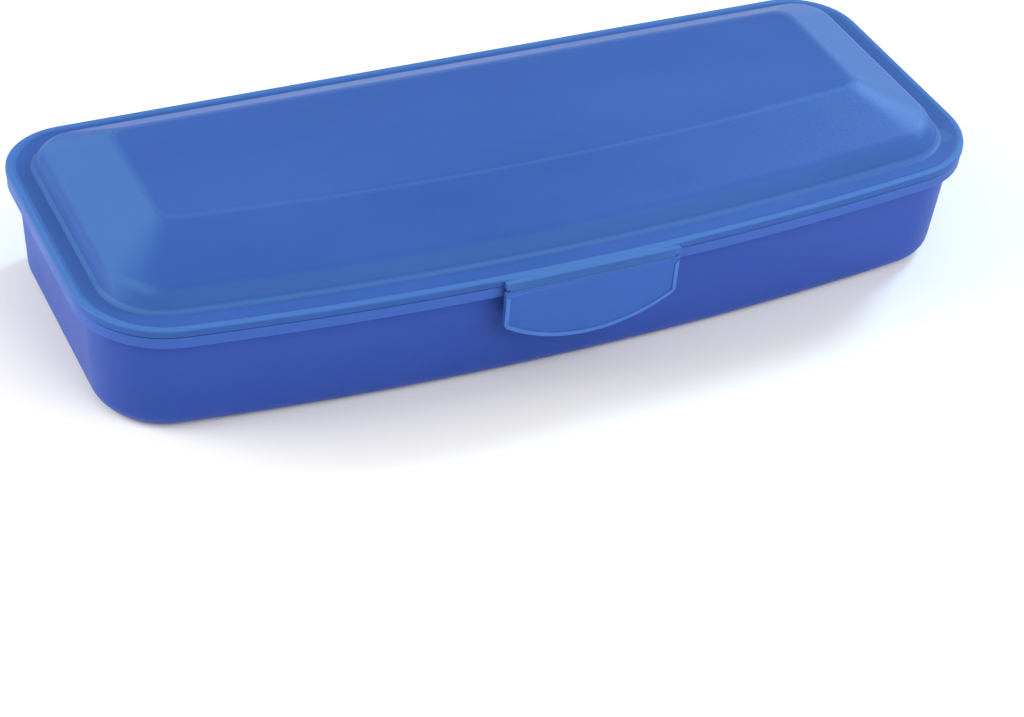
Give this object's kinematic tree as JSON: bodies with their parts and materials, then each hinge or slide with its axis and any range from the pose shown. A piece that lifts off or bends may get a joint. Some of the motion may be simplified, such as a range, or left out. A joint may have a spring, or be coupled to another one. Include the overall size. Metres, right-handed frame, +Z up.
{
  "type": "pencil case",
  "caption": "Snap-shut plastic pencil case: a shallow tray with a domed lid on a film hinge along the back and a latch tab on the bowed front.",
  "frame": {"origin": "on the table, at the middle of the tray's flat underside, below the middle of the rim", "axes": "+X along the case, +Y to the hinged back, +Z up; the latch tab is on the -Y side"},
  "size_m": [0.2, 0.0824, 0.0353],
  "materials": {
    "tray_plastic": "translucent blue polypropylene, finely moulded",
    "lid_plastic": "translucent blue polypropylene, finely moulded",
    "tab_plastic": "translucent blue polypropylene, finely moulded",
    "film_plastic": "thin blue polypropylene film"
  },
  "bodies": {
    "tray": {"base_tray": "tray_plastic", "hinge_film": "film_plastic"},
    "lid": {"lid_shell": "lid_plastic", "latch_film": "film_plastic"},
    "tab": {"latch_tab": "tab_plastic"}
  },
  "joints": [
    {"name": "lid_hinge", "type": "hinge", "parent": "tray", "child": "lid", "pos_m": [0, 0.0407, 0.02575], "axis": [-1, 0, 0], "range_deg": [0, 180], "deforming": ["hinge_film"]},
    {"name": "tab_hinge", "type": "hinge", "parent": "lid", "child": "tab", "pos_m": [0, -0.04097, 0.0255], "axis": [-1, 0, 0], "range_deg": [0, 90], "deforming": ["latch_film"]}
  ]
}
